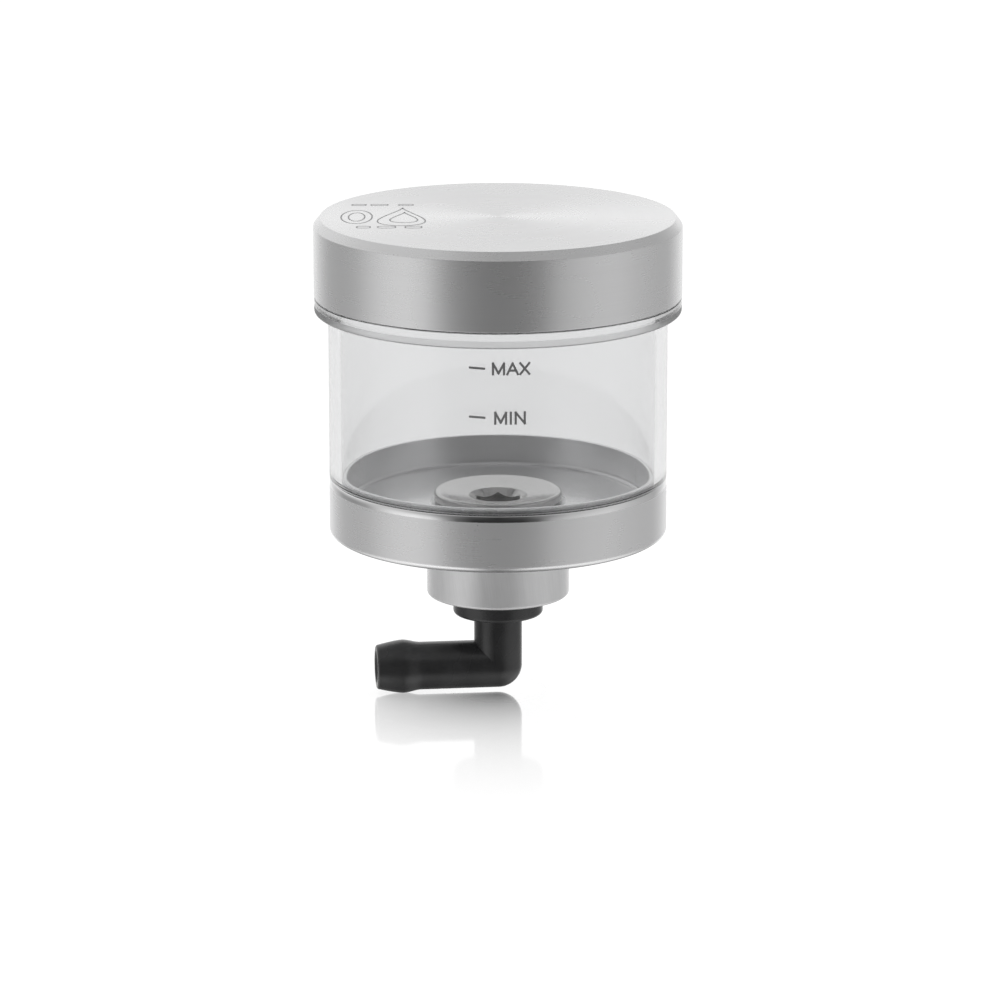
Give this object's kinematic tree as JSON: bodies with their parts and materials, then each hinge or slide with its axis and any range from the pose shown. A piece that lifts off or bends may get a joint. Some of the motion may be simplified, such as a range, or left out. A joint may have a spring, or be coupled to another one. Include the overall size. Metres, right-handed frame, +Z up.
{
  "type": "brake fluid reservoir",
  "caption": "Round remote brake fluid reservoir: screw cap, clear cup with level marks, metal base and boss, and a swivelling elbow with a hose barb.",
  "frame": {"origin": "centre of the base's underside, where a bracket's eye is clamped between the base and the boss", "axes": "+Z up along the axis of the cup and cap; -Y towards the level marks; at rest the hose elbow points to -X and 6.7 degrees towards -Y"},
  "size_m": [0.05, 0.05, 0.0665],
  "materials": {
    "brushed_aluminium": "turned and finely brushed, clear anodised",
    "clear_acrylic": "clear, polished",
    "black_nylon": "black, moulded satin",
    "white_nylon": "natural white, matt",
    "black_rubber": "matt",
    "grey_silicone": "matt grey silicone rubber",
    "stainless_steel": "turned satin"
  },
  "bodies": {
    "reservoir": {"cup": "clear_acrylic", "base": "brushed_aluminium", "base_seal": "black_rubber", "centre_bolt": "stainless_steel", "bolt_head_seal": "black_rubber", "clamp_boss": "brushed_aluminium", "boss_seal": "black_rubber"},
    "seal_stack": {"diaphragm": "grey_silicone", "slip_ring": "white_nylon"},
    "cap": {"cap": "brushed_aluminium"},
    "elbow": {"elbow": "black_nylon", "upper_spigot_o_ring": "black_rubber", "lower_spigot_o_ring": "black_rubber", "snap_ring": "stainless_steel"}
  },
  "joints": [
    {"name": "cap_lift", "type": "slide", "parent": "reservoir", "child": "seal_stack", "axis": [0, 0, 1], "range_m": [0, 0.006]},
    {"name": "cap_turn", "type": "hinge", "parent": "seal_stack", "child": "cap", "pos_m": [0, 0, 0.0385], "axis": [0, 0, 1], "range_deg": [0, 1080]},
    {"name": "elbow_swivel", "type": "hinge", "parent": "reservoir", "child": "elbow", "pos_m": [0, 0, -0.0067], "axis": [0, 0, 1], "continuous": true}
  ],
  "couplings": [
    {"joint": "cap_lift", "follows": "cap_turn", "m_per_rad": 0.00031831}
  ]
}
